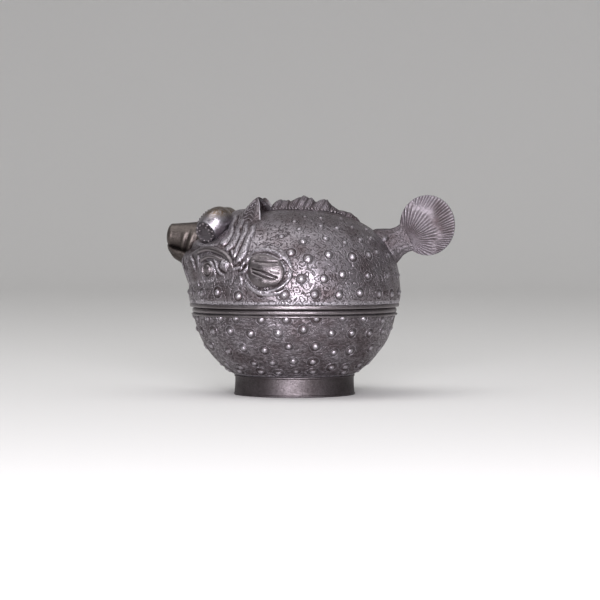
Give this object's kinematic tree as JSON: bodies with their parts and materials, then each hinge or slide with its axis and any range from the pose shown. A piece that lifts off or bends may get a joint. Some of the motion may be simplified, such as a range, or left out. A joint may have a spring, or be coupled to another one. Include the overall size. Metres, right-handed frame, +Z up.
{
  "type": "lidded lime container",
  "caption": "Round lidded silver lime box shaped as a spiny puffed-up beast-fish, with a lift-off lid, snout, ears, fins, crest and fan tail.",
  "frame": {"origin": "on the surface that the foot ring stands on, under the middle of the overall length from the snout's tip to the tail fan's far edge and midway across the width", "axes": "+X along the length towards the tail fan, so the snout points along -X; +Z up; +Y to the right side of the animal"},
  "size_m": [0.0862, 0.0658, 0.0591],
  "materials": {
    "silver_chased": "chased and punched silver, darkly tarnished in the recesses",
    "silver_plain": "plain silver, satin with handling wear",
    "silver_polished": "silver rubbed bright on the high spots",
    "silver_gold_brown": "silver with a warm gold-brown tarnish"
  },
  "bodies": {
    "bowl": {"bowl_shell": "silver_chased", "foot_ring": "silver_plain", "bowl_bead_wire": "silver_plain", "bowl_rim_band": "silver_plain", "seating_collar": "silver_plain"},
    "lid": {"lid_shell": "silver_chased", "lid_rim_strip": "silver_plain", "face_mask": "silver_chased", "snout": "silver_gold_brown", "lower_jaw": "silver_gold_brown", "eye_left": "silver_polished", "eye_right": "silver_polished", "brow_left": "silver_chased", "brow_right": "silver_chased", "brow_dome_left": "silver_polished", "brow_dome_right": "silver_polished", "ear_left": "silver_chased", "ear_right": "silver_chased", "side_fin_left": "silver_polished", "side_fin_right": "silver_polished", "back_crest": "silver_chased", "tail_stalk": "silver_chased", "tail_fan": "silver_polished"}
  },
  "joints": [
    {"name": "lid_lift", "type": "slide", "parent": "bowl", "child": "lid", "axis": [0, 0, 1], "range_m": [0, 0.045]}
  ]
}
